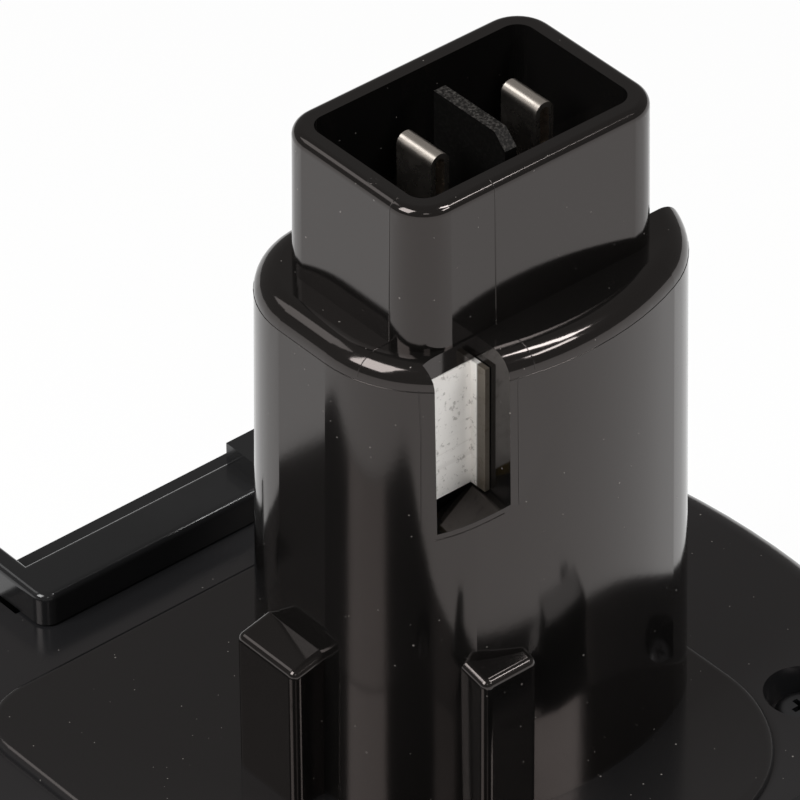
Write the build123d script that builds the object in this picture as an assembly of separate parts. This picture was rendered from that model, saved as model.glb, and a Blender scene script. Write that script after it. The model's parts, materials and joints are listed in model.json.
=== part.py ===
from build123d import *
import math
import os

# Stem battery pack for a cordless hand tool. Millimetres, +Z up, +X along the
# base towards its round end, origin in the middle of the underside.

# Base: walls and the room left round the cells; its length, width and height follow
left_room = 1.9
right_room = 2.0
side_room = 5.5
lead_room = 2.4
right_end_radius = 75.0
left_end_radius = 300.0
right_corner_radius = 26.0
left_corner_radius = 12.0
split_height = 25.0
base_wall = 2.4
floor_thick = 2.4
top_wall = 2.2
top_edge_radius = 2.8
foot_edge_radius = 1.6
overrun = 5.0

# Lip between the two halves of the housing
lip_height = 2.0
lip_thick = 1.1
lip_gap = 0.1

# Raised pad that the stem stands on
pad_step = 1.0
pad_left = 36.8
pad_right = 20.1
pad_half_width = 28.0
pad_left_radius = 6.5
pad_right_radius = 15.0
pad_edge_radius = 0.9

# Stem: section at the shoulder, then a little draft down to the pad
stem_side_room = 5.4
stem_cell_room = 1.15
stem_offset = 0.5
stem_front_arc_radius = 30.0
stem_front_corner_radius = 12.0
stem_back_corner_radius = 9.5
stem_draft = 0.7
stem_wall = 2.2
shoulder_radius = 2.2

# Key groove down the stem's right flank
key_front = 6.2
key_width = 5.8
key_reach = 15.0
key_foot = 6.0

# Head: rectangular socket on top of the stem
head_height = 14.7
head_inner_length = 24.2
head_inner_width = 15.3
head_wall = 1.9
head_outer_radius = 3.6
head_inner_radius = 1.75
head_draft = 0.2
head_rim_radius = 0.9

# Contact window in the front-left of the stem
window_left = 13.9
window_right = 7.9
window_setback = 2.25
window_drop = 17.5
window_wall = 1.0
window_rise = 1.9
window_opening_end = 7.0

# Key ribs at the foot of the stem
side_rib_reach = 22.3
side_rib_front = 2.1
side_rib_back = 6.1
side_rib_height = 15.1
front_rib_left = 12.3
front_rib_right = 6.2
front_rib_reach = 16.4
front_rib_height = 17.6
rib_lead_in = 0.8
rib_edge_radius = 0.8

# Cells: places are hexagonal, one more cell stands in the stem
cell_radius = 11.2
cell_height = 42.6
cell_gap = 0.5
cell_rows = 5
cell_button_radius = 4.6
cell_button_height = 0.8
cell_crimp_depth = 0.5
cell_crimp_height = 1.6
cell_crimp_drop = 3.2
first_cell_x = 22.3
card_thick = 0.4
link_thick = 0.3
link_width = 6.0
link_overrun = 3.0
strip_width = 4.0
card_inset = 0.6
stem_cell_y = -0.95
stem_disc_thick = 0.5

# Screws through the cover into the tray
front_screw_shift = 1.7
front_boss_room = 1.9
rear_boss_room = 3.15
screw_recess_radius = 3.65
screw_recess_drop = 3.7
screw_boss_radius = 5.2
screw_head_radius = 2.6
screw_head_height = 2.0
screw_shank_radius = 1.45
screw_grip = 7.7
screw_hole_gap = 0.25
screw_drive_radius = 1.1
screw_drive_depth = 1.1
boss_gap = 0.2
pilot_extra_depth = 2.0

# Release latches in the long sides, mirrored about the middle
latch_left = -23.1
latch_right = 13.1
latch_travel = 2.0
latch_gap = 0.4
bar_inset = 3.4
bar_width = 5.4
bar_corner_radius = 1.6
bar_edge_radius = 0.7
bar_rise = 2.65
bar_gap = 0.25
tooth_left = 2.9
tooth_rise = 2.1
tooth_lead_in = 0.8
arm_thick = 2.2
pad_proud = 1.0
pad_thick = 2.1
pad_foot_rise = 5.0
pad_edge_round = 0.7
grip_ridge_count = 5
grip_ridge_pitch = 3.0
grip_ridge_radius = 0.6
grip_side_margin = 6.0
pocket_depth = 5.0
pocket_wall = 2.2
tongue_centre = 1.0
tongue_half_width = 5.0
tongue_rise = 2.0
tongue_thick = 2.4
barb_rise = 1.2
barb_length = 1.6
barb_gap = 0.3
stop_rib_height = 8.0
stop_rib_spread = 6.0
tongue_slot_gap = 0.4

# Springs behind each latch pad
spring_spread = 11.0
spring_rise = 10.5
spring_coil_radius = 2.3
spring_wire_radius = 0.25
spring_turns = 4.0
spring_seat_depth = 1.1
spring_seat_gap = 0.5
spring_peg_radius = 1.5
spring_peg_height = 1.2
spring_end_gap = 0.05

# Contact carrier in the head
carrier_gap = 0.15
carrier_floor_rise = 1.6
carrier_floor_thick = 5.0
carrier_flange_thick = 2.4
carrier_flange_reach = 2.3
carrier_room = 12.2
carrier_skirt_wall = 1.4
divider_thick = 1.3
divider_half_width = 4.7
divider_drop = 0.4
divider_chamfer = 1.4

# Folded contact blades
blade_x = 5.9
contact_shift = 0.45
blade_width = 4.6
blade_thick = 2.0
blade_strip = 0.5
blade_drop = 0.9
blade_foot_drop = 3.4
blade_slot_gap = 0.05

# Third contact, behind the window
plate_thick = 0.5
plate_lip = 1.9
plate_side_gap = 0.1
plate_left = 12.9
plate_top_gap = 0.1
plate_tab_width = 3.0
plate_tab_end = 6.3
plate_tab_drop = 9.0

# Leads, thermistor and cut-out
dimple_radius = 2.5
lead_radius = 0.8
lead_bend_radius = 4.0
lead_rise_x = -14.1
lead_rest_height = 1.0
lead_clear = 0.1
bus_shift_x = 11.5
bus_shift_y = 10.6
cutout_x = -33.0
cutout_y = 14.0
cutout_length = 11.0
cutout_width = 6.0
cutout_height = 2.0
thermistor_radius = 1.2
thermistor_length = 4.0
thermistor_x = -24.0
sense_rise_x = -12.4
sense_y = -8.1
foam_width = 9.0
foam_length = 26.0
foam_x = -52.0

# Places and levels worked out from the sizes above
cell_pitch = 2 * cell_radius + cell_gap
row_step = cell_pitch * math.sin(math.radians(60.0))
base_length = (cell_rows - 1) * row_step + 2 * cell_radius + left_room + right_room + 2 * base_wall
base_width = 2 * (cell_pitch + cell_radius + side_room + base_wall)
tower_x = base_length / 2 - base_wall - right_room - cell_radius - first_cell_x
cell_foot = floor_thick + card_thick + link_thick
cell_top = cell_foot + cell_height
card_foot = cell_top + link_thick
card_top = card_foot + card_thick
inner_top = card_top + lead_room
cover_top = inner_top + top_wall
base_height = cover_top + pad_step
stem_cell_foot = card_top + link_thick
stem_cell_top = stem_cell_foot + cell_height
shoulder_z = stem_cell_top + stem_disc_thick + carrier_room
head_top = shoulder_z + head_height
stem_half_width = cell_radius + stem_wall + stem_side_room
stem_front = cell_radius + stem_wall + stem_cell_room - stem_cell_y
stem_back = cell_radius + stem_wall + stem_cell_room + stem_cell_y
window_back = head_inner_width / 2 + window_setback
front_screw_x = first_cell_x + front_screw_shift
front_screw_y = cell_radius + screw_boss_radius + front_boss_room
rear_screw_x = first_cell_x - (cell_rows - 2) * row_step
rear_screw_y = cell_pitch / 2 + cell_radius + screw_boss_radius + rear_boss_room
bar_outer_y = base_width / 2 - bar_inset
bar_inner_y = bar_outer_y - bar_width
pad_outer_y = base_width / 2 + pad_proud
pocket_floor_y = base_width / 2 - pocket_depth
pad_foot = split_height + pad_foot_rise
tongue_foot = pad_foot + tongue_rise
spring_z = pad_foot + spring_rise
carrier_floor_top = shoulder_z + carrier_floor_rise
carrier_floor_foot = carrier_floor_top - carrier_floor_thick
carrier_flange_top = shoulder_z - stem_wall
carrier_foot = stem_cell_top + stem_disc_thick
lead_top = carrier_flange_top - carrier_flange_thick - lead_radius - lead_clear
window_foot = shoulder_z - window_drop
recess_floor = cover_top - screw_recess_drop
screw_length = recess_floor - split_height + screw_grip
pad_inner_y = pad_outer_y - pad_thick
pocket_inner_y = pocket_floor_y - pocket_wall
latch_centre = (latch_left + latch_right) / 2
spring_length = pad_inner_y + spring_seat_depth - pocket_floor_y - 2 * spring_end_gap


def block(x_low, x_high, y_low, y_high, z_low, z_high):
    """A box given by its limits."""
    size = (x_high - x_low, y_high - y_low, z_high - z_low)
    middle = ((x_low + x_high) / 2, (y_low + y_high) / 2, (z_low + z_high) / 2)
    return Pos(*middle) * Box(*size)


def prism(outline, z_low, z_high):
    """An outline carried straight up between two levels."""
    return Pos(0, 0, z_low) * extrude(outline, z_high - z_low)


def drafted(outline, growth, z_low, z_high):
    """An outline at z_high that grows evenly down to z_low."""
    height = z_high - z_low
    angle = math.degrees(math.atan2(growth, height))
    return extrude(Pos(0, 0, z_high) * outline, height, dir=(0, 0, -1), taper=-angle)


def corners(sketch, test):
    """The corner points of a sketch that pass a test."""
    return [vertex for vertex in sketch.vertices() if test(vertex)]


def edges_at(part, z, limit=0.01):
    """The edges of a part that lie flat at one level."""
    return [edge for edge in part.edges()
            if abs(edge.bounding_box().min.Z - z) < limit
            and abs(edge.bounding_box().max.Z - z) < limit]


def base_outline(inset=0.0):
    """Plan of the base: a round right end, a nearly flat left end."""
    half = Rectangle(base_length / 2, base_width)
    right_arc = Pos(base_length / 2 - right_end_radius, 0) * Circle(right_end_radius)
    left_arc = Pos(left_end_radius - base_length / 2, 0) * Circle(left_end_radius)
    plan = (Pos(base_length / 4, 0) * half & right_arc) + (Pos(-base_length / 4, 0) * half & left_arc)
    near_side = base_width / 4
    plan = fillet(corners(plan, lambda v: v.X > 0 and abs(v.Y) > near_side), right_corner_radius)
    plan = fillet(corners(plan, lambda v: v.X < 0 and abs(v.Y) > near_side
                          and v.X < right_corner_radius - base_length / 2), left_corner_radius)
    if inset:
        plan = offset(plan, -inset)
    return plan


def stem_outline(inset=0.0):
    """Section of the stem: full front arc, flat back, four round corners."""
    depth = stem_front + stem_back
    plan = Pos(0, (stem_back - stem_front) / 2) * Rectangle(2 * stem_half_width, depth)
    arc_centre = stem_front_arc_radius - stem_front
    plan = plan & (Pos(0, arc_centre) * Circle(stem_front_arc_radius))
    plan = fillet(corners(plan, lambda v: v.Y < 0), stem_front_corner_radius)
    plan = fillet(corners(plan, lambda v: v.Y > stem_back - overrun / 2), stem_back_corner_radius)
    if inset:
        plan = offset(plan, -inset)
    return Pos(tower_x + stem_offset, 0) * plan


def head_outline(length, width, radius):
    """Rectangle of the head, centred on the tower axis."""
    return Pos(tower_x, 0) * RectangleRounded(length, width, radius)


def pad_outline():
    """Plan of the raised pad, rounder at its right corners."""
    length = pad_left + pad_right
    plan = Pos(tower_x + (pad_right - pad_left) / 2, 0) * Rectangle(length, 2 * pad_half_width)
    plan = fillet(corners(plan, lambda v: v.X > tower_x), pad_right_radius)
    return fillet(corners(plan, lambda v: v.X < tower_x - pad_left + overrun), pad_left_radius)


def cell_places():
    """Middles of the base cells in the order in which they are joined."""
    rows = []
    for row in range(cell_rows):
        x = tower_x + first_cell_x - row * row_step
        if row == 0:
            rows.append([(x, 0.0)])
        elif row % 2:
            rows.append([(x, cell_pitch / 2), (x, -cell_pitch / 2)])
        else:
            rows.append([(x, -cell_pitch), (x, 0.0), (x, cell_pitch)])
    return [place for row in rows for place in row]


def screw_places():
    """Middles of the cover screws."""
    return [(tower_x + front_screw_x, front_screw_y), (tower_x + front_screw_x, -front_screw_y),
            (tower_x + rear_screw_x, rear_screw_y), (tower_x + rear_screw_x, -rear_screw_y)]


def bus_place():
    """Where the negative lead rises beside the last base cell."""
    x, y = cell_places()[-1]
    return x + bus_shift_x, y + bus_shift_y


def both_sides(shape):
    """A shape and its mirror image across the middle of the pack."""
    return shape + mirror(shape, about=Plane.XZ)


def latch_pocket(extra=0.0):
    """Space that one latch pad works in, open at the top and outside."""
    top = cover_top + overrun if not extra else inner_top + extra
    return block(tower_x + latch_left - latch_gap - extra, tower_x + latch_right + latch_gap + extra,
                 pocket_floor_y - extra, base_width / 2 + overrun,
                 pad_foot - latch_gap - extra, top)


def window_space(extra=0.0):
    """Slot of the contact window, open to the front and to the shoulder."""
    left = tower_x - window_left - extra
    right = tower_x - window_right + extra
    profile = Plane.XZ * Polyline(
        (left, window_foot - extra), (right, window_foot + window_rise - extra),
        (right, shoulder_z + overrun - extra), (left, shoulder_z + overrun - extra), close=True)
    return Pos(0, -window_back, 0) * extrude(make_face(profile), stem_front)


def window_back_space():
    """Room for the third contact behind the window."""
    return block(tower_x - window_left, tower_x - window_right, -window_back - overrun, -window_opening_end,
                 window_foot + window_rise, shoulder_z - stem_wall)


def key_space(extra=0.0):
    """Groove in the right flank of the stem."""
    return block(tower_x + key_reach - extra, tower_x + stem_half_width + overrun,
                 -key_front - extra, key_width - key_front + extra,
                 base_height + key_foot - extra, shoulder_z + overrun - extra)


def side_rib():
    """Key rib on the left flank of the stem, with a sloped lead-in."""
    top = base_height + side_rib_height
    profile = Plane.XZ * Polyline(
        (tower_x - side_rib_reach, 0), (tower_x, 0),
        (tower_x, top + rib_lead_in - cover_top), (tower_x - stem_half_width, top + rib_lead_in - cover_top),
        (tower_x - side_rib_reach, top - cover_top), close=True)
    width = side_rib_front + side_rib_back
    rib = Pos(0, side_rib_back, cover_top) * extrude(make_face(profile), width)
    low = top - rib_edge_radius
    outer = [edge for edge in rib.edges()
             if edge.bounding_box().max.X < tower_x - side_rib_reach + rib_edge_radius
             or (edge.bounding_box().min.Z > low and edge.bounding_box().max.X < tower_x - stem_wall)]
    seen = [edge for edge in outer if edge.bounding_box().max.Z > base_height]
    return fillet(seen, rib_edge_radius)


def front_rib():
    """Key rib on the front of the stem, with a sloped lead-in."""
    top = base_height + front_rib_height
    profile = Plane.YZ * Polyline(
        (-front_rib_reach, 0), (0, 0), (0, top + rib_lead_in - cover_top),
        (rib_lead_in - stem_front + stem_wall, top + rib_lead_in - cover_top),
        (-front_rib_reach, top - cover_top), close=True)
    width = front_rib_left - front_rib_right
    rib = Pos(tower_x - front_rib_left, 0, cover_top) * extrude(make_face(profile), width)
    low = top - rib_edge_radius
    outer = [edge for edge in rib.edges()
             if edge.bounding_box().max.Y < rib_edge_radius - front_rib_reach
             or (edge.bounding_box().min.Z > low and edge.bounding_box().max.Y < -stem_wall)]
    seen = [edge for edge in outer if edge.bounding_box().max.Z > base_height]
    return fillet(seen, rib_edge_radius)


def cover_outside():
    """Outer form of the cover: base, pad, stem, ribs and head."""
    body = prism(base_outline(), split_height, cover_top)
    body = fillet(edges_at(body, cover_top), top_edge_radius)
    pad = prism(pad_outline(), cover_top - pad_step, base_height)
    pad = fillet(edges_at(pad, base_height), pad_edge_radius)
    stem = drafted(stem_outline(), stem_draft, cover_top, shoulder_z)
    stem = fillet(edges_at(stem, shoulder_z), shoulder_radius)
    length = head_inner_length + 2 * head_wall
    width = head_inner_width + 2 * head_wall
    head = drafted(head_outline(length, width, head_outer_radius), head_draft,
                   shoulder_z - stem_wall, head_top)
    head = fillet(edges_at(head, head_top), head_rim_radius)
    return body + pad + stem + side_rib() + front_rib() + head


def cover_inside():
    """Room inside the cover."""
    body = prism(base_outline(base_wall), split_height - overrun, inner_top)
    rebate = prism(base_outline(base_wall - lip_thick - lip_gap), split_height - overrun,
                   split_height + lip_height + lip_gap)
    stem = drafted(stem_outline(stem_wall), stem_draft, inner_top - overrun, shoulder_z - stem_wall)
    stem = stem - window_space(window_wall) - key_space(stem_wall)
    socket = prism(head_outline(head_inner_length, head_inner_width, head_inner_radius),
                   shoulder_z - stem_wall - overrun, head_top + overrun)
    pockets = both_sides(latch_pocket(pocket_wall))
    return body + rebate + stem + socket - pockets


def top_cover():
    """Upper half of the housing with the stem and the contact head."""
    cover = cover_outside() - cover_inside()
    for x, y in screw_places():
        cover = cover + Pos(x, y, split_height + boss_gap) * Cylinder(
            screw_boss_radius, inner_top - split_height, align=(Align.CENTER, Align.CENTER, Align.MIN))
    cover = cover - both_sides(latch_pocket()) - window_space() - window_back_space() - key_space()
    for x, y in screw_places():
        recess = Pos(x, y, recess_floor) * Cylinder(
            screw_recess_radius, screw_recess_drop + overrun, align=(Align.CENTER, Align.CENTER, Align.MIN))
        hole = Pos(x, y, recess_floor + overrun) * Cylinder(
            screw_shank_radius + screw_hole_gap, base_height, align=(Align.CENTER, Align.CENTER, Align.MAX))
        cover = cover - recess - hole
    slot = block(tower_x + tongue_centre - tongue_half_width - tongue_slot_gap,
                 tower_x + tongue_centre + tongue_half_width + tongue_slot_gap,
                 pocket_inner_y - overrun, pocket_floor_y + overrun,
                 tongue_foot - tongue_slot_gap, tongue_foot + tongue_thick + tongue_slot_gap)
    peg = Pos(0, pocket_floor_y, spring_z) * Rot(-90, 0, 0) * Cylinder(
        spring_peg_radius, spring_peg_height, align=(Align.CENTER, Align.CENTER, Align.MIN))
    for side in (-1, 1):
        cover = cover + both_sides(Pos(tower_x + latch_centre + side * spring_spread, 0, 0) * peg)
    return cover - both_sides(slot)


def base_housing():
    """Lower half of the housing: a tray with screw bosses."""
    outside = prism(base_outline(), 0, split_height)
    outside = fillet(edges_at(outside, 0), foot_edge_radius)
    lip = prism(base_outline(base_wall - lip_thick), split_height - lip_height,
                split_height + lip_height)
    tray = outside + lip - prism(base_outline(base_wall), floor_thick, base_height)
    for x, y in screw_places():
        tray = tray + Pos(x, y, floor_thick / 2) * Cylinder(
            screw_boss_radius, split_height - floor_thick / 2, align=(Align.CENTER, Align.CENTER, Align.MIN))
        foot = recess_floor - screw_length - pilot_extra_depth
        tray = tray - Pos(x, y, foot) * Cylinder(
            screw_shank_radius, base_height, align=(Align.CENTER, Align.CENTER, Align.MIN))
    return tray


def cell():
    """A round cell standing on its foot, button up."""
    can_height = cell_height - cell_button_height
    crimp_low = can_height - cell_crimp_drop
    crimp_radius = cell_radius - cell_crimp_depth
    profile = Polyline(
        (0, 0), (cell_radius, 0), (cell_radius, crimp_low), (crimp_radius, crimp_low + cell_crimp_depth),
        (crimp_radius, crimp_low + cell_crimp_height - cell_crimp_depth),
        (cell_radius, crimp_low + cell_crimp_height), (cell_radius, can_height),
        (cell_button_radius, can_height), (cell_button_radius, cell_height), (0, cell_height), close=True)
    return revolve(Plane.XZ * make_face(profile), Axis.Z)


def base_cell(index):
    """One cell of the base: every second one stands on its button."""
    x, y = cell_places()[index]
    if index % 2:
        return Pos(x, y, cell_top) * Rot(180, 0, 0) * cell()
    return Pos(x, y, cell_foot) * cell()


def link(start, end, z):
    """A nickel link welded across two cells."""
    run = math.dist(start, end) + 2 * link_overrun
    angle = math.degrees(math.atan2(end[1] - start[1], end[0] - start[0]))
    middle = ((start[0] + end[0]) / 2, (start[1] + end[1]) / 2)
    plate = SlotOverall(run, link_width)
    return Pos(middle[0], middle[1], z) * Rot(0, 0, angle) * extrude(plate, link_thick)


def cell_links(first, z):
    """Every second link of the chain, all at one level."""
    places = cell_places()
    pairs = range(first, len(places) - 1, 2)
    return Compound(children=[link(places[i], places[i + 1], z) for i in pairs])


def insulating_card(z):
    """Fibre card across the ends of the cells, clear of the screw bosses."""
    card = prism(base_outline(base_wall + card_inset), z, z + card_thick)
    for x, y in screw_places():
        card = card - Pos(x, y, z) * Cylinder(screw_boss_radius + card_inset, overrun)
    notch = block(tower_x + latch_left - overrun, tower_x + latch_right + overrun,
                  pocket_inner_y - card_inset, base_width, z - overrun, z + overrun)
    card = card - both_sides(notch)
    bus_x, bus_y = bus_place()
    slot = block(bus_x - lead_radius - card_inset, bus_x + lead_radius + card_inset,
                 bus_y - lead_bend_radius, bus_y + lead_radius + card_inset, z - overrun, z + overrun)
    return card - slot


def upper_card():
    """The card over the cells, with a hole for the link up to the stem cell."""
    x, y = cell_places()[0]
    return insulating_card(card_foot) - Pos(x, y, card_foot) * Cylinder(dimple_radius + card_inset, overrun)


def stem_link():
    """Nickel link from the first base cell, through the card, under the stem cell."""
    x, y = cell_places()[0]
    plate = link((tower_x, stem_cell_y), (x, y), card_top)
    dimple = Pos(x, y, cell_top) * Cylinder(dimple_radius, card_top - cell_top + link_thick,
                                            align=(Align.CENTER, Align.CENTER, Align.MIN))
    return plate + dimple


def stem_lower_disc():
    """Fibre disc under the stem cell, as thick as the link that crosses it."""
    x, y = cell_places()[0]
    disc = Pos(tower_x, stem_cell_y, card_top) * Cylinder(
        cell_radius, link_thick, align=(Align.CENTER, Align.CENTER, Align.MIN))
    wider = Pos(0, 0, -link_thick) * link((tower_x, stem_cell_y), (x, y), card_top)
    room = wider + link((tower_x, stem_cell_y), (x, y), card_top)
    return disc - room


def stem_upper_disc():
    """Fibre ring round the button of the stem cell; the carrier stands on it."""
    height = cell_button_height + stem_disc_thick
    ring = Cylinder(cell_radius, height, align=(Align.CENTER, Align.CENTER, Align.MIN))
    hole = Cylinder(cell_button_radius + carrier_gap, overrun)
    return Pos(tower_x, stem_cell_y, carrier_foot - height) * (ring - hole)


def positive_strip():
    """Nickel strip from the stem cell's button up to the right blade."""
    bend = tower_x + cell_button_radius / 2
    blade_side = tower_x + contact_shift + blade_x - blade_thick / 2
    half = strip_width / 2
    flat = block(tower_x - cell_button_radius / 2, bend + link_thick, -half, half,
                 stem_cell_top, stem_cell_top + link_thick)
    riser = block(bend, bend + link_thick, -half, half, stem_cell_top, lead_top + link_thick)
    cross = block(bend, blade_side, -half, half, lead_top, lead_top + link_thick)
    return flat + riser + cross


def negative_tab():
    """Nickel tab under the last base cell, reaching out to the lead."""
    x, y = cell_places()[-1]
    return link((x, y), bus_place(), cell_foot - link_thick)


def contact_carrier():
    """Block in the head that holds the blades, with the divider between them."""
    half_length = head_inner_length / 2 - carrier_gap
    half_width = head_inner_width / 2 - carrier_gap
    body = prism(head_outline(2 * half_length, 2 * half_width, head_inner_radius - carrier_gap),
                 carrier_foot, carrier_floor_top)
    flange = block(tower_x - head_inner_length / 2 - carrier_flange_reach,
                   tower_x + head_inner_length / 2 + carrier_flange_reach,
                   plate_thick - window_back, head_inner_width / 2 + carrier_flange_reach,
                   carrier_flange_top - carrier_flange_thick, carrier_flange_top)
    flange = flange & prism(stem_outline(stem_wall + carrier_gap), carrier_foot, carrier_floor_top)
    flange = flange - key_space(stem_wall + carrier_gap)
    hollow = prism(head_outline(2 * half_length - 2 * carrier_skirt_wall,
                                2 * half_width - 2 * carrier_skirt_wall,
                                head_inner_radius - carrier_gap), carrier_foot - overrun,
                   carrier_floor_foot)
    divider_top = head_top - divider_drop
    divider_foot = carrier_floor_top - divider_thick
    profile = Plane.YZ * Polyline(
        (-divider_half_width, divider_foot), (divider_half_width, divider_foot),
        (divider_half_width, divider_top), (divider_chamfer - divider_half_width, divider_top),
        (-divider_half_width, divider_top - divider_chamfer), close=True)
    divider_x = tower_x + contact_shift - divider_thick / 2
    divider = Pos(divider_x, 0, 0) * extrude(make_face(profile), divider_thick)
    carrier = body + flange + divider - hollow
    for side in (-1, 1):
        slot = block(-blade_thick / 2 - blade_slot_gap, blade_thick / 2 + blade_slot_gap,
                     -blade_width / 2 - blade_slot_gap, blade_width / 2 + blade_slot_gap,
                     carrier_foot, head_top)
        carrier = carrier - Pos(tower_x + contact_shift + side * blade_x, 0, 0) * slot
    notch = block(tower_x - half_length - overrun, tower_x - half_length + overrun,
                  -lead_radius - blade_slot_gap, lead_radius + blade_slot_gap,
                  carrier_foot - overrun, lead_top + lead_radius + blade_slot_gap)
    return carrier - notch - plate_tab(blade_slot_gap)


def contact_blade(side):
    """Strip folded over into a round-topped blade."""
    top = head_top - blade_drop
    foot = carrier_floor_foot - blade_foot_drop
    bend = Pos(0, top - blade_thick / 2) * Circle(blade_thick / 2)
    legs = Pos(0, (top - blade_thick / 2 + foot) / 2) * Rectangle(blade_thick, top - blade_thick / 2 - foot)
    gap = blade_thick - 2 * blade_strip
    inner_bend = Pos(0, top - blade_thick / 2) * Circle(gap / 2)
    inner = Pos(0, (top - blade_thick / 2 + foot) / 2 - overrun / 2) * Rectangle(
        gap, top - blade_thick / 2 - foot + overrun)
    section = Plane.XZ * (bend + legs - inner_bend - inner)
    return Pos(tower_x + contact_shift + side * blade_x, blade_width / 2, 0) * extrude(section, blade_width)


def plate_tab(extra=0.0):
    """Tab of the third contact that is pressed into the carrier."""
    level = shoulder_z - plate_tab_drop
    return block(tower_x - plate_left - extra, tower_x - plate_left + plate_tab_width + extra,
                 -window_back, extra - plate_tab_end, level - extra, level + plate_thick + extra)


def third_contact():
    """Flat contact behind the window, with a lip along its right edge."""
    right = tower_x - window_right - plate_side_gap
    top = shoulder_z - stem_wall - plate_top_gap
    foot = window_foot + window_rise + plate_side_gap
    face = block(tower_x - plate_left, right, -window_back, plate_thick - window_back, foot, top)
    lip = block(right - plate_thick, right, -window_back - plate_lip, -window_back, foot, top)
    return face + lip + plate_tab()


def latch_back():
    """Release latch of the +Y side: pad, arms, bar, catch tooth and tongue."""
    left = tower_x + latch_left
    right = tower_x + latch_right
    bar_foot = cover_top + bar_gap
    bar_top = base_height + bar_rise
    pad_top = bar_foot
    pad = block(left, right, pad_inner_y, pad_outer_y, pad_foot, pad_top)
    outer = [edge for edge in pad.edges()
             if edge.bounding_box().min.Y > pad_outer_y - pad_edge_round
             and edge.bounding_box().max.Z < pad_foot + pad_edge_round]
    pad = fillet(outer, pad_edge_round)
    middle = (left + right) / 2
    plan = Pos(middle, (bar_inner_y + bar_outer_y) / 2) * Rectangle(right - left, bar_width)
    arm = Rectangle(arm_thick, pad_outer_y - bar_inner_y)
    for x in (left + arm_thick / 2, right - arm_thick / 2):
        plan = plan + Pos(x, (bar_inner_y + pad_outer_y) / 2) * arm
    plan = fillet(corners(plan, lambda v: v.Y < bar_inner_y + bar_corner_radius), bar_corner_radius)
    bar = prism(plan, bar_foot, bar_top)
    bar = fillet(edges_at(bar, bar_top), bar_edge_radius)
    tooth_middle = (tower_x + tooth_left + right) / 2
    tooth = Pos(tooth_middle, (bar_inner_y + bar_outer_y) / 2) * Rectangle(
        right - tower_x - tooth_left, bar_width)
    tooth = prism(tooth, bar_foot, bar_top + tooth_rise)
    inner = [edge for edge in edges_at(tooth, bar_top + tooth_rise)
             if edge.bounding_box().max.Y < bar_inner_y + tooth_lead_in]
    tooth = chamfer(inner, tooth_lead_in)
    latch = pad + bar + tooth
    for low in (left, right - arm_thick):
        latch = latch + block(low, low + arm_thick, pad_inner_y, pad_outer_y,
                              pad_foot, bar_top - bar_edge_radius)
    tongue_left = tower_x + tongue_centre - tongue_half_width
    tongue_right = tower_x + tongue_centre + tongue_half_width
    tongue_end = pocket_inner_y - barb_gap - barb_length
    tongue = block(tongue_left, tongue_right, tongue_end, pad_outer_y - pad_thick / 2,
                   tongue_foot, tongue_foot + tongue_thick)
    barb = block(tongue_left, tongue_right, tongue_end, tongue_end + barb_length,
                 tongue_foot, tongue_foot + tongue_thick + barb_rise)
    latch = latch + tongue + barb
    for number in range(grip_ridge_count):
        z = (pad_foot + pad_top) / 2 + (number - (grip_ridge_count - 1) / 2) * grip_ridge_pitch
        ridge = Pos((left + right) / 2, pad_outer_y, z) * Rot(0, 90, 0) * Cylinder(
            grip_ridge_radius, right - left - 2 * grip_side_margin)
        latch = latch + ridge
    stop_y = pocket_floor_y + latch_travel + barb_gap
    for side in (-1, 1):
        x = tower_x + latch_centre + side * stop_rib_spread
        rib = block(x - arm_thick / 2, x + arm_thick / 2, stop_y, pad_outer_y - pad_thick / 2,
                    spring_z - stop_rib_height / 2, spring_z + stop_rib_height / 2)
        latch = latch + rib
        seat = Pos(tower_x + latch_centre + side * spring_spread, pad_inner_y + spring_seat_depth, spring_z)
        latch = latch - seat * Rot(90, 0, 0) * Cylinder(
            spring_coil_radius + spring_seat_gap, overrun, align=(Align.CENTER, Align.CENTER, Align.MIN))
    return latch


def latch_spring(side):
    """Coil spring of the +Y side between the pocket floor and the pad."""
    coil_length = spring_length - 2 * spring_wire_radius
    path = Helix(coil_length / spring_turns, coil_length, spring_coil_radius)
    start = path @ 0
    section = Plane(origin=start, z_dir=path % 0) * Circle(spring_wire_radius)
    coil = sweep(section, path=path, is_frenet=True)
    x = tower_x + latch_centre + side * spring_spread
    return Pos(x, pocket_floor_y + spring_end_gap + spring_wire_radius, spring_z) * Rot(-90, 0, 0) * coil


def screw():
    """Self-tapping screw with a domed head and a cross recess."""
    head = Cylinder(screw_head_radius, screw_head_height, align=(Align.CENTER, Align.CENTER, Align.MIN))
    head = fillet(edges_at(head, screw_head_height), screw_head_height / 2)
    shank = Cylinder(screw_shank_radius, screw_length, align=(Align.CENTER, Align.CENTER, Align.MAX))
    tip = edges_at(shank, -screw_length)
    shank = chamfer(tip, screw_shank_radius / 2)
    slot = Box(2 * screw_drive_radius, screw_drive_depth / 2, 2 * screw_drive_depth)
    cross = Pos(0, 0, screw_head_height) * (slot + Rot(0, 0, 90) * slot)
    return head + shank - cross


def cover_screws():
    """The four cover screws."""
    return Compound(children=[Pos(x, y, recess_floor) * screw() for x, y in screw_places()])


def lead(points):
    """An insulated lead along a route of straight runs and round bends."""
    path = FilletPolyline(*points, radius=lead_bend_radius)
    section = Plane(origin=path @ 0, z_dir=path % 0) * Circle(lead_radius)
    return sweep(section, path=path)


def negative_lead_lower():
    """From the last base cell's foot up to the cut-out on the card."""
    level = card_top + lead_rest_height
    x, y = bus_place()
    return lead([(x, y, cell_foot), (x, y, level), (x, cutout_y, level),
                 (tower_x + cutout_x - cutout_length / 2, cutout_y, level)])


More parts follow.
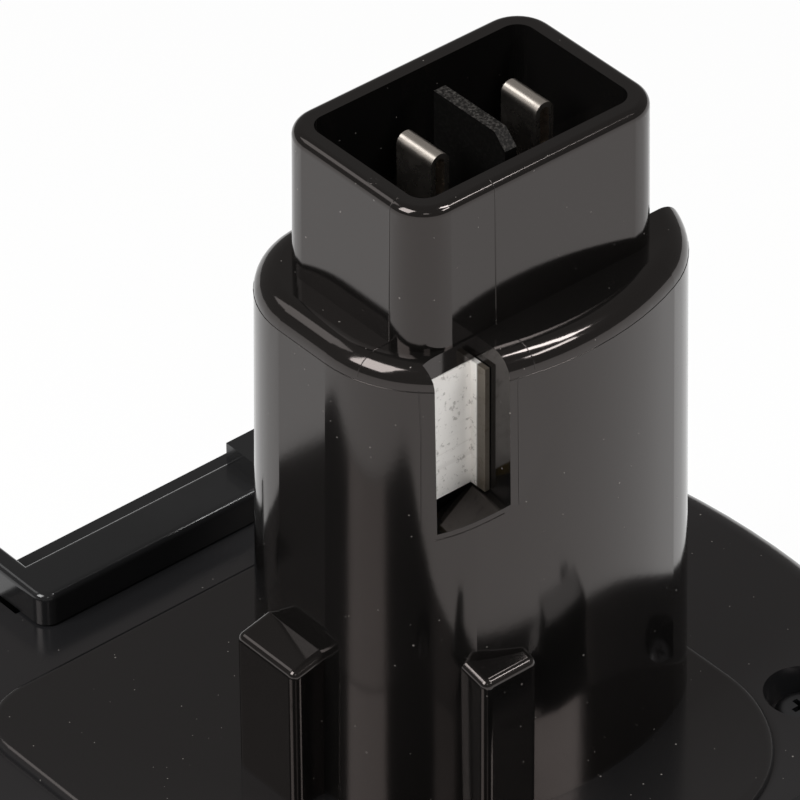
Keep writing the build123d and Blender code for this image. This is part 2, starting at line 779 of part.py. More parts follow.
def negative_lead_upper():
    """From the cut-out across the card and up the stem to the left blade."""
    level = card_top + lead_rest_height
    rise = tower_x + lead_rise_x
    return lead([(tower_x + cutout_x + cutout_length / 2, cutout_y, level),
                 (rise, cutout_y, level), (rise, 0, level), (rise, 0, lead_top),
                 (tower_x + contact_shift - blade_x - blade_thick / 2, 0, lead_top)])


def sense_lead():
    """From the thermistor along the card and up the stem to the third contact."""
    level = card_top + lead_rest_height
    rise = tower_x + sense_rise_x
    return lead([(tower_x + thermistor_x + thermistor_length / 2, sense_y, level),
                 (rise, sense_y, level), (rise, sense_y, shoulder_z - plate_tab_drop)])


def thermal_cutout():
    """Flat thermal cut-out that rides on the upper card."""
    level = card_top + cutout_height / 2
    return Pos(tower_x + cutout_x, cutout_y, level) * Box(cutout_length, cutout_width, cutout_height)


def thermistor():
    """Bead that feels the cells' heat, lying on the upper card."""
    bead = Rot(0, 90, 0) * Cylinder(thermistor_radius, thermistor_length)
    return Pos(tower_x + thermistor_x, sense_y, card_top + thermistor_radius) * bead


def foam_pad():
    """Foam strip that keeps the rear cells down."""
    return block(tower_x + foam_x - foam_width / 2, tower_x + foam_x + foam_width / 2,
                 -foam_length / 2, foam_length / 2, card_top, inner_top)


os.makedirs("parts", exist_ok=True)
back_latch = latch_back()
nodes = {
    "top_cover": top_cover(),
    "base_housing": base_housing(),
    "contact_carrier": contact_carrier(),
    "left_contact_blade": contact_blade(-1),
    "right_contact_blade": contact_blade(1),
    "third_contact": third_contact(),
    "latch_back": back_latch,
    "latch_front": mirror(back_latch, about=Plane.XZ),
    "cover_screws": cover_screws(),
    "bottom_card": insulating_card(floor_thick),
    "top_card": upper_card(),
    "bottom_links": cell_links(0, cell_foot - link_thick),
    "top_links": cell_links(1, cell_top),
    "stem_cell": Pos(tower_x, stem_cell_y, stem_cell_foot) * cell(),
    "stem_lower_disc": stem_lower_disc(),
    "stem_upper_disc": stem_upper_disc(),
    "stem_link": stem_link(),
    "positive_strip": positive_strip(),
    "negative_tab": negative_tab(),
    "sense_lead": sense_lead(),
    "negative_lead_lower": negative_lead_lower(),
    "negative_lead_upper": negative_lead_upper(),
    "thermal_cutout": thermal_cutout(),
    "thermistor": thermistor(),
    "foam_pad": foam_pad(),
}
for index in range(len(cell_places())):
    nodes["cell_%02d" % (index + 1)] = base_cell(index)
for name, side in (("left", -1), ("right", 1)):
    spring = latch_spring(side)
    nodes["spring_back_" + name] = spring
    nodes["spring_front_" + name] = mirror(spring, about=Plane.XZ)
for name, shape in nodes.items():
    export_step(shape, "parts/" + name + ".step")
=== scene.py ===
import json

import bpy
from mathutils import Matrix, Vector


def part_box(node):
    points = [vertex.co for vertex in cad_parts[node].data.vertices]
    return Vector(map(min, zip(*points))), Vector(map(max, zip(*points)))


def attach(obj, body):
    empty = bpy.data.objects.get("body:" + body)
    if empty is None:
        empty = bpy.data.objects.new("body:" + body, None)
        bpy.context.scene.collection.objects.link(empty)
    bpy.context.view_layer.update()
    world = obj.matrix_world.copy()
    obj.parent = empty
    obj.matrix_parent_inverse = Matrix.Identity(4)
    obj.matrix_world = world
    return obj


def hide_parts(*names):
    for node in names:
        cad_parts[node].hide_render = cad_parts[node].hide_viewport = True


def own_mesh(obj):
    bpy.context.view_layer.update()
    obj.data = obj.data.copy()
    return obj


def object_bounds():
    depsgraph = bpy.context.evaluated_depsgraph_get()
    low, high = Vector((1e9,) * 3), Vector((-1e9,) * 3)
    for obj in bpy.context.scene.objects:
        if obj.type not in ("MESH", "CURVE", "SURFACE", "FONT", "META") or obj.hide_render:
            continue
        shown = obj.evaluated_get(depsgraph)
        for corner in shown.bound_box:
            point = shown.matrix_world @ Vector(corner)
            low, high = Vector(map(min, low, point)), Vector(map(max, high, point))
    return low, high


bl_info = {
    "name": "Stem battery pack",
    "version": (1, 0, 0),
    "blender": (4, 5, 0),
    "location": "View3D > Sidebar > Pack",
    "description": "Finishes a stem battery pack for a cordless tool over its packed solids",
    "category": "Object",
}

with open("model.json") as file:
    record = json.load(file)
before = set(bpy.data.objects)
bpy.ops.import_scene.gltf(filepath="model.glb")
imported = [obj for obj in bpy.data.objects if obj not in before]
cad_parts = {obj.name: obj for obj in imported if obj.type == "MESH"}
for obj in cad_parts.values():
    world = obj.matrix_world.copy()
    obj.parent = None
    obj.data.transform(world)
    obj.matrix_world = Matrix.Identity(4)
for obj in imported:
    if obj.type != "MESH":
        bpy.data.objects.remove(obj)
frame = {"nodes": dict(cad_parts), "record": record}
cad_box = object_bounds()
nodes = frame["nodes"]
stem_low, stem_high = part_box("stem_cell")

# Places on the pack, in metres: X from the stem's axis, Y from the middle of the base

HEAD_HEIGHT = 0.0147
SATIN_FADE = (0.0515, 0.0525)            # heights between which the grained cover top ends
# The next four place the painted dark reflection on the contact plate's flange and soften its edges
FLANGE_BEND_X = -0.0088
FLANGE_BEND_DEPTH = 0.0011               # behind the contact plate's foremost edge
FLANGE_FADE_X = 0.00015
FLANGE_FADE_Y = 0.0001

SHOULDER_LINE_DROP = 0.0023              # below the shoulder, as are the next three
HEAD_FOOT = 0.0020                       # where the head's lines end and the insert's begin
INSERT_FOOT = 0.0184
INSERT_RIGHT_FOOT = 0.0159
INSERT_FOOT_NORMAL = (-0.305, 0, 0.952)
INSERT_LEFT = -0.0149
INSERT_RIGHT = -0.0071
HEAD_SIDE_LINE_Y = -0.0058
HEAD_FRONT_LINE_X = -0.0055
HOLLOW_HALF_AXES = (0.0174, 0.0128)      # ellipse between the cover's hollow and its skin
HEAD_LEFT_SKIN = -0.0130                 # lines lie further out than these planes
HEAD_FRONT_SKIN = -0.0086
STEM_FRONT_SKIN = -0.009
STEM_FRONT_RIGHT_SKIN = -0.012

PIN_MARK_PLACE = (-0.01305, -0.0025, -0.00006)   # from the stem's axis at the head's rim
PIN_MARK_RADIUS = 0.00042
PIN_MARK_EDGE = 0.00008

MERGE_GAP = 0.000002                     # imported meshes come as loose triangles

# Stage, in metres and radians

FLOOR_SIZE = 8.0
FLOOR_CUTS = 3
FLOOR_GLOW_SEEN = 0.8                    # share of plain white in what the camera sees
FLOOR_GLOW_MIRRORED = 0.95               # the same in reflections
WHITE = (1.0, 1.0, 1.0)
ROOM_COLOUR = (1.0, 0.98, 0.96)
ROOM_STRENGTH = 0.19
AIM_HEIGHT = 0.09
NEAR_STRIP_SHARE = 0.2
CAMERA_PLACE = (-0.364554, -0.426702, 0.511511)  # X from the stem's axis
CAMERA_TURN = (0.921516, 0.005349, -0.699918)
CAMERA_LENS_MM = 360.0
CAMERA_SENSOR_MM = 36.0
CAMERA_CLIP = (0.01, 20.0)


# Settings that a user would change

class PackSizes(bpy.types.PropertyGroup):
    seam_width: bpy.props.FloatProperty(
        name="Mould line width", description="Width of the raised mould lines",
        default=0.0001, min=0.00005, max=0.0006, unit="LENGTH")
    tower_x: bpy.props.FloatProperty(
        name="Stem place", description="Distance of the stem's axis from the middle of the base",
        default=(stem_low[0] + stem_high[0]) / 2, unit="LENGTH")
    shoulder_z: bpy.props.FloatProperty(
        name="Shoulder height", description="Height of the flat shoulder round the head",
        default=cad_box[1][2] - HEAD_HEIGHT, unit="LENGTH")
    head_top: bpy.props.FloatProperty(
        name="Rim height", description="Height of the head's rim",
        default=cad_box[1][2], unit="LENGTH")


class PackColours(bpy.types.PropertyGroup):
    housing: bpy.props.FloatVectorProperty(
        name="Housing", description="Glossy plastic of the stem and cover", subtype="COLOR",
        size=3, min=0.0, max=1.0, default=(0.0045, 0.0042, 0.0040))
    satin: bpy.props.FloatVectorProperty(
        name="Cover top", description="Finely grained top of the cover round the stem", subtype="COLOR",
        size=3, min=0.0, max=1.0, default=(0.0150, 0.0150, 0.0160))
    tray: bpy.props.FloatVectorProperty(
        name="Tray", description="Plastic of the lower housing", subtype="COLOR",
        size=3, min=0.0, max=1.0, default=(0.014, 0.014, 0.0145))
    latch: bpy.props.FloatVectorProperty(
        name="Latches", description="Plastic of the release latches", subtype="COLOR",
        size=3, min=0.0, max=1.0, default=(0.012, 0.012, 0.0125))
    carrier: bpy.props.FloatVectorProperty(
        name="Contact carrier", description="Plastic that holds the blades", subtype="COLOR",
        size=3, min=0.0, max=1.0, default=(0.0032, 0.0030, 0.0028))
    dust: bpy.props.FloatVectorProperty(
        name="Dust", description="Dust and rubbed spots", subtype="COLOR",
        size=3, min=0.0, max=1.0, default=(0.30, 0.28, 0.26))
    nickel: bpy.props.FloatVectorProperty(
        name="Contacts", description="Nickel plate of the blades", subtype="COLOR",
        size=3, min=0.0, max=1.0, default=(0.80, 0.73, 0.66))
    sleeve: bpy.props.FloatVectorProperty(
        name="Cell sleeves", description="Shrink sleeve of the cells", subtype="COLOR",
        size=3, min=0.0, max=1.0, default=(0.022, 0.11, 0.05))
    card: bpy.props.FloatVectorProperty(
        name="Fibre card", description="Insulating card and rings", subtype="COLOR",
        size=3, min=0.0, max=1.0, default=(0.36, 0.30, 0.20))


class StageLook(bpy.types.PropertyGroup):
    floor: bpy.props.FloatVectorProperty(
        name="Floor", description="Plain floor under the pack", subtype="COLOR",
        size=3, min=0.0, max=1.0, default=(0.95, 0.95, 0.95))
    key_power: bpy.props.FloatProperty(
        name="Key lamp", description="Power of the large soft lamp on the left, in watts",
        default=9.0, min=0.0)
    side_power: bpy.props.FloatProperty(
        name="Side lamp", description="Power of the lamp on the right, in watts",
        default=3.2, min=0.0)
    back_power: bpy.props.FloatProperty(
        name="Back lamp", description="Power of the soft lamp behind, in watts",
        default=0.55, min=0.0)
    strip_power: bpy.props.FloatProperty(
        name="Strips", default=1.4, min=0.0,
        description="Power of the front strip lamp, in watts; the near one has a fifth of it")


# Shader expressions

class Value:
    """What comes out of a node; arithmetic on it adds Math nodes."""

    def __init__(self, graph, socket):
        self.graph = graph
        self.socket = socket

    def math(self, operation, *others):
        inputs = dict(enumerate((self,) + others))
        return self.graph.node("ShaderNodeMath", {"operation": operation}, inputs)

    def __add__(self, other):
        return self.math("ADD", other)

    def __sub__(self, other):
        return self.math("SUBTRACT", other)

    def __mul__(self, other):
        return self.math("MULTIPLY", other)

    def __rsub__(self, other):
        return self.graph.node("ShaderNodeMath", {"operation": "SUBTRACT"}, {0: other, 1: self})

    __radd__ = __add__
    __rmul__ = __mul__


class Graph:
    """A node tree with its output node, filled by method calls and expressions."""

    def __init__(self, tree, output_kind):
        self.tree = tree
        self.tree.nodes.clear()
        self.output = self.tree.nodes.new(output_kind)

    def feed(self, socket, value):
        """Link a Value to a socket, or set the socket to a number, a vector or a colour."""
        if isinstance(value, Value):
            self.tree.links.new(value.socket, socket)
        elif socket.type == "RGBA":
            socket.default_value = tuple(value)[:3] + (1.0,)
        else:
            socket.default_value = value

    def node(self, kind, settings, inputs, output=0):
        made = self.tree.nodes.new(kind)
        for key, value in settings.items():
            setattr(made, key, value)
        for key, value in inputs.items():
            self.feed(made.inputs[key], value)
        return Value(self, made.outputs[output])

    def mix_shaders(self, factor, first, second):
        return self.node("ShaderNodeMixShader", {}, {0: factor, 1: first, 2: second})

    def show(self, shader):
        self.feed(self.output.inputs["Surface"], shader)


class Finish(Graph):
    """One procedural material on object coordinates."""

    def __init__(self, name):
        self.material = bpy.data.materials.new(name)
        self.material.use_nodes = True
        super().__init__(self.material.node_tree, "ShaderNodeOutputMaterial")
        self.place = self.node("ShaderNodeTexCoord", {}, {}, "Object")

    def coordinate(self, vector, axis):
        return self.node("ShaderNodeSeparateXYZ", {}, {0: vector}, axis)

    def noise(self, scale, detail, roughness, place=None):
        return self.node("ShaderNodeTexNoise", {}, {
            "Vector": place or self.place, "Scale": scale, "Detail": detail, "Roughness": roughness})

    def step(self, value, low, high):
        """0 below low, 1 above high, and an even rise between."""
        return self.node("ShaderNodeMapRange", {"clamp": True}, {
            0: value, 1: low, 2: high, 3: 0.0, 4: 1.0})

    def patches(self, scale, low, high, detail=4.0, roughness=0.6):
        """Soft irregular patches where a noise passes from low to high."""
        return self.step(self.noise(scale, detail, roughness), low, high)

    def streaks(self, stretch, detail=3.0, roughness=0.6, turn=(0.0, 0.0, 0.0)):
        """Noise with a scale of its own along each axis, turned by some radians."""
        place = self.node("ShaderNodeMapping", {}, {
            "Vector": self.place, "Rotation": turn, "Scale": stretch})
        return self.noise(1.0, detail, roughness, place)

    def blend(self, factor, first, second):
        """A colour between two, which are Values or plain colours."""
        return self.node("ShaderNodeMix", {"data_type": "RGBA"}, {0: factor, 6: first, 7: second}, 2)

    def varied(self, factor, colour, times, lift=0.0):
        """A colour that turns lighter or darker where the factor is high."""
        return self.blend(factor, colour, scaled(colour, times, lift))

    def bump(self, height, distance, strength=0.5, under=None):
        inputs = {"Height": height, "Distance": distance, "Strength": strength}
        if under:
            inputs["Normal"] = under
        return self.node("ShaderNodeBump", {}, inputs)

    def specks(self, scale, size, share):
        """Small round specks, one in some of the cells of a Voronoi pattern."""
        pattern = {"Vector": self.place, "Scale": scale}
        spots = self.node("ShaderNodeTexVoronoi", {}, pattern)
        cell = self.node("ShaderNodeTexVoronoi", {}, pattern, "Color")
        chosen = self.node("ShaderNodeSeparateColor", {}, {"Color": cell})
        near = 1 - self.step(spots, size * 0.6, size)
        return near * self.step(chosen, 1.0 - share, 1.02 - share)

    def scratches(self, scale, turn, sharp=0.02):
        """Fine broken hair lines along one direction."""
        lines = self.streaks((scale * 0.05, scale, scale), detail=1.0, roughness=0.4, turn=turn)
        away = (lines - 0.5).math("ABSOLUTE")
        broken = self.patches(scale * 0.25, 0.52, 0.62, detail=2.0, roughness=0.5)
        return (1 - self.step(away, sharp * 0.4, sharp)) * broken

    def surface(self, **inputs):
        """The shader itself; its inputs are named with underscores for spaces."""
        named = {key.replace("_", " "): value for key, value in inputs.items()}
        self.show(self.node("ShaderNodeBsdfPrincipled", {}, named))
        return self.material


def scaled(colour, times, lift=0.0):
    return tuple(min(1.0, part * times + lift) for part in colour)


# Finishes of this pack

def housing_finish(colours):
    """Glossy and dusty plastic, finely grained on the cover's top."""
    f = Finish("glossy_housing")
    dust = f.specks(520.0, size=0.055, share=0.45).math(
        "MAXIMUM", f.specks(1100.0, size=0.08, share=0.20))
    smudge = f.patches(38.0, 0.35, 0.75)
    satin = 1 - f.step(f.coordinate(f.place, "Z"), *SATIN_FADE)
    colour = f.varied(smudge * 0.5, colours.housing, 1.35)
    colour = f.blend(satin, colour, colours.satin)
    colour = f.blend(dust * 0.7, colour, colours.dust)
    rough = 0.08 + smudge * 0.04 + satin * 0.10 + dust * 0.4
    waves = f.bump(f.noise(60.0, detail=1.0, roughness=0.4), distance=0.00008)
    peel = f.bump(f.noise(1500.0, detail=2.0, roughness=0.5), distance=0.000003, under=waves)
    return f.surface(Base_Color=colour, Roughness=rough, Specular_IOR_Level=0.63,
                     Specular_Tint=(1.0, 0.89, 0.85), Normal=f.bump(dust, distance=0.00003, under=peel))


def tray_finish(colours):
    """Grained plastic, rubbed smooth in patches."""
    f = Finish("grained_tray")
    grain = f.noise(2600.0, detail=3.0, roughness=0.6)
    rubbed = f.patches(55.0, 0.5, 0.8)
    dust = f.specks(380.0, size=0.08, share=0.2)
    colour = f.varied(rubbed * 0.4, colours.tray, 1.6)
    colour = f.blend(dust * 0.6, colour, colours.dust)
    rough = 0.42 - rubbed * 0.10 + grain * 0.08
    return f.surface(Base_Color=colour, Roughness=rough, Normal=f.bump(grain, distance=0.00002))


def latch_finish(colours):
    """Half glossy plastic, worn in patches."""
    f = Finish("latch_plastic")
    grain = f.noise(1900.0, detail=2.0, roughness=0.55)
    worn = f.patches(90.0, 0.5, 0.8)
    dust = f.specks(500.0, size=0.09, share=0.2)
    colour = f.varied(worn * 0.4, colours.latch, 1.7)
    colour = f.blend(dust * 0.6, colour, colours.dust)
    return f.surface(Base_Color=colour, Roughness=0.13 + worn * 0.08 + grain * 0.04,
                     Normal=f.bump(grain, distance=0.000005))


def carrier_finish(colours):
    """Dull plastic with dust on whatever faces up."""
    f = Finish("dusty_carrier")
    up = f.coordinate(f.node("ShaderNodeNewGeometry", {}, {}, "Normal"), "Z")
    facing = f.step(up, 0.25, 0.7)
    mottle = f.patches(3200.0, 0.46, 0.68, roughness=0.7) * (0.05 + facing * 0.95)
    colour = f.blend(mottle * 0.20 + facing * 0.02, colours.carrier, colours.dust)
    return f.surface(Base_Color=colour, Roughness=0.5 + mottle * 0.25, Specular_IOR_Level=0.1,
                     Normal=f.bump(mottle, distance=0.00002, strength=0.7))


def blade_finish(colours):
    """Brushed nickel with darker stains."""
    f = Finish("nickel_blade")
    brush = f.streaks((1800.0, 250.0, 250.0))
    stain = f.patches(330.0, 0.5, 0.75)
    colour = f.varied(stain * 0.55, colours.nickel, 0.55)
    return f.surface(Base_Color=colour, Metallic=1.0, Roughness=0.22 + brush * 0.10 + stain * 0.10,
                     Normal=f.bump(brush, distance=0.000008))


def plate_finish(colours, bend_x, bend_y):
    """Bright worn plate; its flange, past bend_x and in front of bend_y, has a painted dark reflection.
    """
    f = Finish("scratched_contact_with_painted_reflection")
    past = f.step(f.coordinate(f.place, "X"), bend_x - FLANGE_FADE_X, bend_x + FLANGE_FADE_X)
    behind = f.step(f.coordinate(f.place, "Y"), bend_y - FLANGE_FADE_Y, bend_y + FLANGE_FADE_Y)
    # mask of the flange, where a dark reflection of the bent part is painted into the colour
    painted_reflection_mask = past * (1 - behind)
    hairs = f.scratches(520.0, turn=(0.2, 0.7, 0.1)).math(
        "MAXIMUM", f.scratches(620.0, turn=(0.2, -0.6, 0.3)))
    stain = f.patches(1300.0, 0.56, 0.63, detail=5.0, roughness=0.75)
    bright = (1.0, 0.97, 0.93)
    dark_reflection_colour = (0.060, 0.045, 0.028)
    colour = f.blend(stain * 0.6, bright, scaled(colours.nickel, 0.4))
    colour = f.blend(hairs * 0.15, colour, scaled(colours.nickel, 0.5))
    # paints the dark reflection of the bent part on the flange
    colour = f.blend(painted_reflection_mask * 0.95, colour, dark_reflection_colour)
    return f.surface(Base_Color=colour, Metallic=0.2, Roughness=0.40 + stain * 0.12 + hairs * 0.1,
                     Normal=f.bump(hairs + stain * 0.4, distance=0.00001, strength=0.6))


def steel_finish(name, colour, rough):
    """Bare metal with lines round the vertical and darker stains."""
    f = Finish(name)
    turned = f.streaks((900.0, 900.0, 2600.0))
    stain = f.patches(300.0, 0.5, 0.8)
    tint = f.varied(stain * 0.5, colour, 0.6)
    return f.surface(Base_Color=tint, Metallic=1.0, Roughness=rough + turned * 0.12 + stain * 0.1,
                     Normal=f.bump(turned, distance=0.000008))


def sleeve_finish(colours):
    """Shrunk plastic film with upright creases."""
    f = Finish("shrink_sleeve")
    creases = f.streaks((300.0, 300.0, 60.0))
    pale = f.patches(70.0, 0.5, 0.8, detail=3.0, roughness=0.5)
    colour = f.varied(pale * 0.3, colours.sleeve, 1.7)
    return f.surface(Base_Color=colour, Roughness=0.26 + pale * 0.1,
                     Normal=f.bump(creases, distance=0.00006))


def card_finish(colours):
    """Pressed fibre, blotched and with paler fibres."""
    f = Finish("fibre_card")
    fibres = f.streaks((500.0, 2200.0, 1000.0), detail=4.0, roughness=0.7)
    blotch = f.patches(120.0, 0.4, 0.75)
    colour = f.varied(blotch * 0.5, colours.card, 0.7)
    colour = f.blend(f.step(fibres, 0.5, 0.62) * 0.35, colour, scaled(colours.card, 1.5))
    return f.surface(Base_Color=colour, Roughness=0.75 + blotch * 0.1,
                     Normal=f.bump(fibres, distance=0.00003, strength=0.6))


def soft_finish(name, colour, scale, rough):
    """Rubber, film or resin with a fine grain and paler patches."""
    f = Finish(name)
    grain = f.noise(scale, detail=3.0, roughness=0.6)
    pale = f.patches(scale * 0.1, 0.45, 0.75, detail=3.0, roughness=0.5)
    tint = f.varied(pale * 0.4, colour, 1.6, lift=0.01)
    return f.surface(Base_Color=tint, Roughness=rough + grain * 0.1,
                     Normal=f.bump(grain, distance=0.00003, strength=0.6))


def foam_finish():
    """Grey foam with dark pores."""
    f = Finish("cell_foam")
    pores = f.node("ShaderNodeTexVoronoi", {}, {"Vector": f.place, "Scale": 1600.0})
    deep = 1 - f.step(pores, 0.1, 0.5)
    skin, pit = (0.07, 0.07, 0.072), (0.02, 0.02, 0.02)
    return f.surface(Base_Color=f.blend(deep, skin, pit), Roughness=0.85 + deep * 0.1,
                     Normal=f.bump(pores, distance=0.0002, strength=0.8))


# Modelling helpers

def only(piece):
    """Select one object and nothing else, in object mode."""
    if bpy.context.object and bpy.context.object.mode != "OBJECT":
        bpy.ops.object.mode_set(mode="OBJECT")
    bpy.ops.object.select_all(action="DESELECT")
    piece.select_set(True)
    bpy.context.view_layer.objects.active = piece


def edit_all():
    """Open the active object's mesh with everything selected."""
    bpy.ops.object.mode_set(mode="EDIT")
    bpy.ops.mesh.select_mode(type="VERT")
    bpy.ops.mesh.select_all(action="SELECT")


def dress(piece, material):
    piece.data.materials.clear()
    piece.data.materials.append(material)


def settle(piece):
    """Put a finished piece's place in its mesh and leave its object at the origin."""
    only(piece)
    bpy.ops.object.transform_apply(location=True, rotation=True, scale=True)


def merged_copy(source, name):
    """A copy of a CAD node, its loose triangles merged and its mesh left open, all selected."""
    piece = source.copy()
    piece.data = source.data.copy()
    piece.name = name
    bpy.context.collection.objects.link(piece)
    only(piece)
    edit_all()
    bpy.ops.mesh.remove_doubles(threshold=MERGE_GAP)
    return piece


def cut_line(name, source, plane_point, plane_normal, keep, thickness):
    """A thin raised line where a plane cuts the skin of a CAD node."""
    line = merged_copy(source, name)
    bpy.ops.mesh.bisect(plane_co=plane_point, plane_no=plane_normal, clear_inner=True, clear_outer=True)
    bpy.ops.mesh.select_all(action="DESELECT")
    bpy.ops.object.mode_set(mode="OBJECT")
    for vertex in line.data.vertices:
        vertex.select = not keep(vertex.co)
    bpy.ops.object.mode_set(mode="EDIT")
    bpy.ops.mesh.delete(type="VERT")
    bpy.ops.object.mode_set(mode="OBJECT")
    bpy.ops.object.convert(target="CURVE")
    line.data.bevel_depth = thickness / 2
    line.data.bevel_resolution = 1
    line.data.use_fill_caps = True
    bpy.ops.object.convert(target="MESH")
    bpy.ops.object.shade_smooth()
    return line


def add_to_cover(piece):
    """Finish a new piece like the cover and let it go where the housing goes."""
    settle(piece)
    dress(piece, nodes["top_cover"].data.materials[0])
    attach(piece, "housing")


# Operators, one for each piece or group of like pieces

class PACK_OT_finishes(bpy.types.Operator):
    """Give every piece carried over from the solids its finish"""
    bl_idname = "pack.finishes"
    bl_label = "Finish the solids"

    def execute(self, context):
        colours = context.scene.pack_colours
        finishes = {
            "housing_black": housing_finish(colours),
            "base_black": tray_finish(colours),
            "latch_black": latch_finish(colours),
            "carrier_black": carrier_finish(colours),
            "contact_nickel": blade_finish(colours),
            "screw_steel": steel_finish("screw_steel", (0.12, 0.12, 0.125), rough=0.3),
            "spring_steel": steel_finish("spring_steel", (0.4, 0.4, 0.42), rough=0.22),
            "cell_sleeve": sleeve_finish(colours),
            "link_nickel": steel_finish("link_nickel", (0.55, 0.53, 0.5), rough=0.28),
            "fibre_card": card_finish(colours),
            "lead_black": soft_finish("black_lead", (0.012, 0.012, 0.012), scale=900.0, rough=0.45),
            "lead_yellow": soft_finish("yellow_lead", (0.45, 0.30, 0.02), scale=900.0, rough=0.4),
            "cutout_steel": steel_finish("cutout_case", (0.45, 0.45, 0.45), rough=0.35),
            "bead_epoxy": soft_finish("bead_epoxy", (0.03, 0.018, 0.01), scale=700.0, rough=0.2),
            "foam_grey": foam_finish(),
        }
        for part in frame["record"]["subparts"]:
            dress(nodes[part["node"]], finishes[part["material_slot"]])
        plate_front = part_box("third_contact")[0][1]
        # the plate's flange gets a painted dark reflection past the bend
        dress(nodes["third_contact"], plate_finish(
            colours, context.scene.pack_sizes.tower_x + FLANGE_BEND_X, plate_front + FLANGE_BEND_DEPTH))
        dress(nodes["stem_cell"], soft_finish(
            "stem_cell_wrap", (0.008, 0.008, 0.008), scale=700.0, rough=0.5))
        return {"FINISHED"}


class PACK_OT_mould_lines(bpy.types.Operator):
    """Raise the fine mould lines round the shoulder, down the head and round the window"""
    bl_idname = "pack.mould_lines"
    bl_label = "Mould lines"

    def execute(self, context):
        sizes = context.scene.pack_sizes
        x, shoulder, width = sizes.tower_x, sizes.shoulder_z, sizes.seam_width
        half_x, half_y = HOLLOW_HALF_AXES
        head_foot = shoulder - HEAD_FOOT
        left, right = x + INSERT_LEFT, x + INSERT_RIGHT
        foot, right_foot = shoulder - INSERT_FOOT, shoulder - INSERT_RIGHT_FOOT
        cuts = (
            ("shoulder_mould_line", (0, 0, shoulder - SHOULDER_LINE_DROP), (0, 0, 1),
             lambda p: (p.x - x) ** 2 / half_x ** 2 + p.y ** 2 / half_y ** 2 > 1.0),
            ("head_left_mould_line", (0, HEAD_SIDE_LINE_Y, 0), (0, 1, 0),
             lambda p: p.x < x + HEAD_LEFT_SKIN and p.z > head_foot),
            ("head_front_mould_line", (x + HEAD_FRONT_LINE_X, 0, 0), (1, 0, 0),
             lambda p: p.y < HEAD_FRONT_SKIN and p.z > head_foot),
            ("insert_line_left", (left, 0, 0), (1, 0, 0),
             lambda p: p.y < STEM_FRONT_SKIN and foot < p.z < head_foot),
            ("insert_line_right", (right, 0, 0), (1, 0, 0),
             lambda p: p.y < STEM_FRONT_RIGHT_SKIN and right_foot < p.z < head_foot),
            ("insert_line_foot", (left, 0, foot), INSERT_FOOT_NORMAL,
             lambda p: p.y < STEM_FRONT_SKIN and left < p.x < right),
        )
        for name, plane_point, plane_normal, keep in cuts:
            add_to_cover(cut_line(name, nodes["top_cover"], plane_point, plane_normal, keep, width))
        return {"FINISHED"}


class PACK_OT_rim_mark(bpy.types.Operator):
    """Raise the small ring that a mould pin leaves on the head's left rim"""
    bl_idname = "pack.rim_mark"
    bl_label = "Rim mark"

    def execute(self, context):
        sizes = context.scene.pack_sizes
        x, y, z = PIN_MARK_PLACE
        bpy.ops.object.select_all(action="DESELECT")
        bpy.ops.mesh.primitive_torus_add(
            major_segments=32, minor_segments=8,
            major_radius=PIN_MARK_RADIUS, minor_radius=PIN_MARK_EDGE,
            location=(sizes.tower_x + x, y, sizes.head_top + z))
        ring = context.object
        ring.name = "rim_pin_mark"
        bpy.ops.object.shade_smooth()
        add_to_cover(ring)
        return {"FINISHED"}


class PACK_OT_coils(bpy.types.Operator):
    """Show the four latch springs by merged copies that go where the housing goes"""
    bl_idname = "pack.coils"
    bl_label = "Latch springs"

    def execute(self, context):
        for joint in frame["record"]["behaviour"]["joints"]:
            travel = max(abs(limit) for limit in joint["range_m"])
            for row in joint["deforming_nodes"]:
                node = row["node"]
                low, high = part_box(node)
                coil = merged_copy(nodes[node], node.replace("spring", "coil"))
                settle(coil)
                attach(coil, "housing")
                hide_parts(node)
                1 - travel / (high[1] - low[1])
                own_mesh(coil)
        return {"FINISHED"}


def lay_floor(colour):
    """A pale floor that the camera and the pack's reflections see as almost plain white."""
    bpy.ops.object.select_all(action="DESELECT")
    bpy.ops.mesh.primitive_plane_add(size=FLOOR_SIZE, location=(0.0, 0.0, 0.0))
    floor = bpy.context.object
    floor.name = "studio_floor"
    edit_all()
    bpy.ops.mesh.subdivide(number_cuts=FLOOR_CUTS)
    bpy.ops.object.mode_set(mode="OBJECT")
    f = Finish("pale_floor")
    lit = f.node("ShaderNodeBsdfDiffuse", {}, {"Color": colour})
    glow = f.node("ShaderNodeEmission", {}, {"Color": WHITE, "Strength": 1.0})
    seen = f.node("ShaderNodeLightPath", {}, {}, "Is Camera Ray")
    mirrored = f.node("ShaderNodeLightPath", {}, {}, "Is Glossy Ray")
    f.show(f.mix_shaders(seen * FLOOR_GLOW_SEEN + mirrored * FLOOR_GLOW_MIRRORED, lit, glow))
    dress(floor, f.material)
    settle(floor)


def light_room(scene):
    """A white background for the camera and a dim warm room for everything else."""
    scene.world = bpy.data.worlds.new("studio")
    scene.world.use_nodes = True
    room = Graph(scene.world.node_tree, "ShaderNodeOutputWorld")
    plain = room.node("ShaderNodeBackground", {}, {"Color": WHITE, "Strength": 1.0})
    dim = room.node("ShaderNodeBackground", {}, {"Color": ROOM_COLOUR, "Strength": ROOM_STRENGTH})
    seen = room.node("ShaderNodeLightPath", {}, {}, "Is Camera Ray")
    room.show(room.mix_shaders(seen, dim, plain))


def hang_lamp(name, place, aim, power, wide, tall):
    bpy.ops.object.light_add(type="AREA", location=place)
    lamp = bpy.context.object
    lamp.name = name
    lamp.data.shape = "RECTANGLE"
    lamp.data.size = wide
    lamp.data.size_y = tall
    lamp.data.energy = power
    lamp.rotation_euler = (aim - place).to_track_quat("-Z", "Y").to_euler()


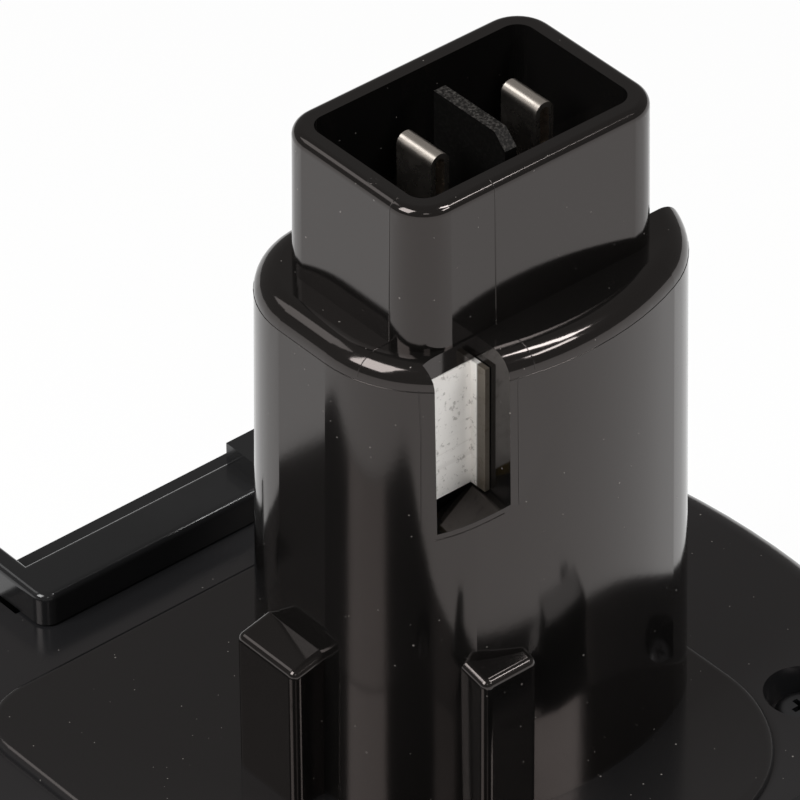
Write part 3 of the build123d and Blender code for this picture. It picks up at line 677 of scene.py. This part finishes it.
class PACK_OT_stage(bpy.types.Operator):
    """Set out the floor, the lamps, the world and the camera"""
    bl_idname = "pack.stage"
    bl_label = "Stage"

    def execute(self, context):
        look = context.scene.pack_stage
        lay_floor(look.floor)
        light_room(context.scene)

        tower_x = context.scene.pack_sizes.tower_x
        aim = Vector((tower_x, 0.0, AIM_HEIGHT))
        # Name, place from the aim, power, width and height
        lamps = (
            ("left_softbox", (-0.70, 0.07, 0.71), look.key_power, 0.50, 0.60),
            ("right_lamp", (0.385, -0.40, 0.82), look.side_power, 0.13, 0.36),
            ("back_softbox", (-0.35, 0.62, 0.70), look.back_power, 0.35, 0.35),
            ("front_strip", (0.34, -0.72, 0.60), look.strip_power, 0.26, 0.11),
            ("near_strip", (-0.43, -0.67, 0.60), look.strip_power * NEAR_STRIP_SHARE, 0.20, 0.10),
        )
        for name, away, power, wide, tall in lamps:
            hang_lamp(name, aim + Vector(away), aim, power, wide, tall)

        x, y, z = CAMERA_PLACE
        bpy.ops.object.camera_add(location=(tower_x + x, y, z), rotation=CAMERA_TURN)
        camera = context.object
        camera.name = "photo_camera"
        camera.data.lens = CAMERA_LENS_MM
        camera.data.sensor_width = CAMERA_SENSOR_MM
        camera.data.clip_start, camera.data.clip_end = CAMERA_CLIP
        context.scene.camera = camera
        context.scene.view_settings.view_transform = "Standard"
        return {"FINISHED"}


class PACK_PT_panel(bpy.types.Panel):
    """Settings, and a button for each piece or group of the pack and for the stage"""
    bl_label = "Stem battery pack"
    bl_idname = "PACK_PT_panel"
    bl_space_type = "VIEW_3D"
    bl_region_type = "UI"
    bl_category = "Pack"

    def draw(self, context):
        layout = self.layout
        for group in (context.scene.pack_sizes, context.scene.pack_colours, context.scene.pack_stage):
            for name in group.__annotations__:
                layout.prop(group, name)
        for step in STEPS:
            layout.operator(step.bl_idname)


STEPS = (PACK_OT_finishes, PACK_OT_mould_lines, PACK_OT_rim_mark, PACK_OT_coils, PACK_OT_stage)
GROUPS = {"pack_sizes": PackSizes, "pack_colours": PackColours, "pack_stage": StageLook}


def register():
    for name, group in GROUPS.items():
        bpy.utils.register_class(group)
        setattr(bpy.types.Scene, name, bpy.props.PointerProperty(type=group))
    for step in STEPS:
        bpy.utils.register_class(step)
    bpy.utils.register_class(PACK_PT_panel)


def unregister():
    bpy.utils.unregister_class(PACK_PT_panel)
    for step in reversed(STEPS):
        bpy.utils.unregister_class(step)
    for name, group in reversed(GROUPS.items()):
        delattr(bpy.types.Scene, name)
        bpy.utils.unregister_class(group)


def main():
    register()
    bpy.ops.pack.finishes()
    bpy.ops.pack.mould_lines()
    bpy.ops.pack.rim_mark()
    bpy.ops.pack.coils()
    bpy.ops.pack.stage()


if __name__ == "__main__":
    main()
